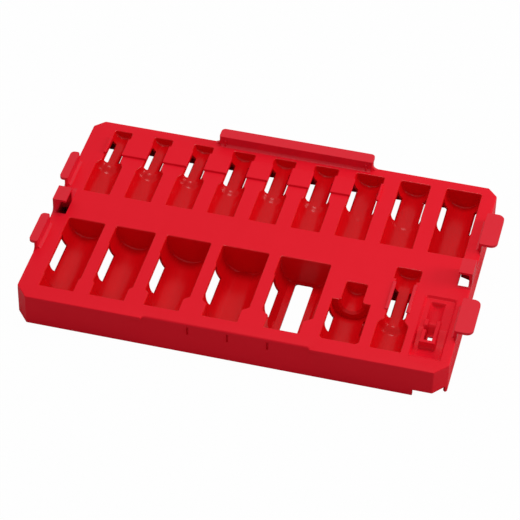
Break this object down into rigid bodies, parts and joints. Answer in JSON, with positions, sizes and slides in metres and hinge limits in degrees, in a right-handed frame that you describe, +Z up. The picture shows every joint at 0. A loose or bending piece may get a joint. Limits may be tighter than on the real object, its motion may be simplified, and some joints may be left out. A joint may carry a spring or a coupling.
{
  "type": "socket tray",
  "caption": "Moulded red plastic insert tray with rows of side-lying stepped pockets for deep sockets, a joint, an extension and a drive adapter, and hooked tabs and catches on its edges.",
  "frame": {"origin": "middle of the overall footprint, hooked edges included, on the ground", "axes": "+X towards the tray's right edge as seen from its front, +Y towards its back edge, +Z up out of the pockets"},
  "size_m": [0.2936, 0.1872, 0.0325],
  "materials": {
    "tray_plastic": "smooth semi-gloss injection-moulded polypropylene, dyed red through"
  },
  "bodies": {
    "root": {"deck": "tray_plastic", "front_rail": "tray_plastic", "rear_rail": "tray_plastic", "lower_front_lands": "tray_plastic", "lower_back_lands": "tray_plastic", "upper_front_lands": "tray_plastic", "upper_back_lands": "tray_plastic", "front_wall": "tray_plastic", "back_wall": "tray_plastic", "left_wall": "tray_plastic", "right_wall": "tray_plastic", "middle_rib": "tray_plastic", "label_channel": "tray_plastic", "rear_lip": "tray_plastic", "left_rear_tab": "tray_plastic", "left_front_tab": "tray_plastic", "right_rear_tab": "tray_plastic", "right_front_tab": "tray_plastic", "left_catch": "tray_plastic", "right_catch": "tray_plastic", "grip_pads": "tray_plastic", "extension_rims": "tray_plastic", "cradle_01": "tray_plastic", "cradle_02": "tray_plastic", "cradle_03": "tray_plastic", "cradle_04": "tray_plastic", "cradle_05": "tray_plastic", "cradle_06": "tray_plastic", "cradle_07": "tray_plastic", "cradle_08": "tray_plastic", "cradle_09": "tray_plastic", "cradle_10": "tray_plastic", "cradle_11": "tray_plastic", "cradle_12": "tray_plastic", "cradle_13": "tray_plastic", "cradle_14": "tray_plastic", "joint_cradle": "tray_plastic", "extension_cradle": "tray_plastic", "adapter_tray": "tray_plastic", "adapter_post": "tray_plastic"}
  },
  "joints": []
}
